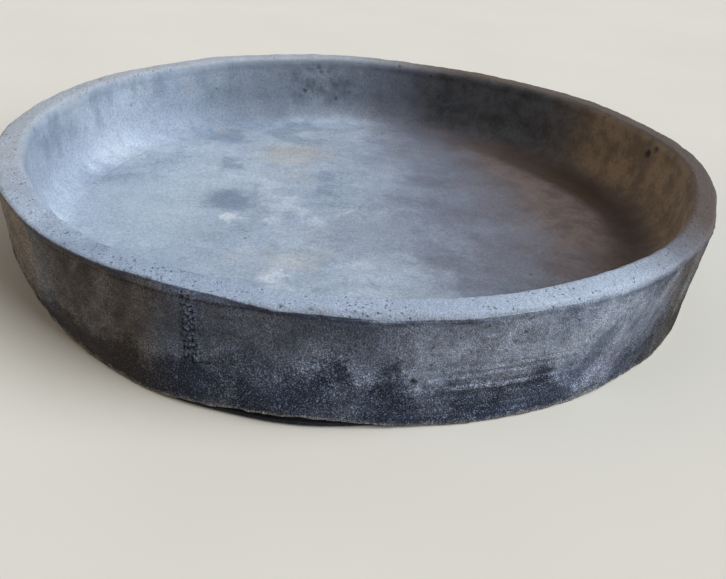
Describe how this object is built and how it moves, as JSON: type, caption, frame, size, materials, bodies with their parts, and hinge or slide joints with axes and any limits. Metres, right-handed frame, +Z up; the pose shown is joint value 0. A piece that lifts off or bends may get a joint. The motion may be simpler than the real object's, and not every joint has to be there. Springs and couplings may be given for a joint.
{
  "type": "planter bowl",
  "caption": "Low round cement planter bowl: a slab base, a slightly flared wall closed at one seam, a wide rounded rim and a coved lining, with wires cast inside.",
  "frame": {"origin": "centre of the underside that the bowl stands on", "axes": "+Z up, out of the bowl's mouth; the seam of the wall strip is at the left front, seen along +Y"},
  "size_m": [0.4799, 0.48, 0.07],
  "materials": {
    "wall_cement": "rough, sandy, mottled",
    "rim_cement": "granular, pinholed",
    "lining_cement": "trowelled smooth, clouded",
    "wire": "drawn, dull"
  },
  "bodies": {
    "root": {"base_slab": "wall_cement", "wall_band": "wall_cement", "wall_seam_fill": "wall_cement", "rim_coping": "rim_cement", "inner_render": "lining_cement", "inner_cove": "lining_cement", "floor_screed": "lining_cement", "base_wires_lengthwise": "wire", "base_wires_crosswise": "wire", "wall_uprights": "wire", "lower_wall_hoop": "wire", "upper_wall_hoop": "wire", "rim_hoop": "wire"}
  },
  "joints": []
}
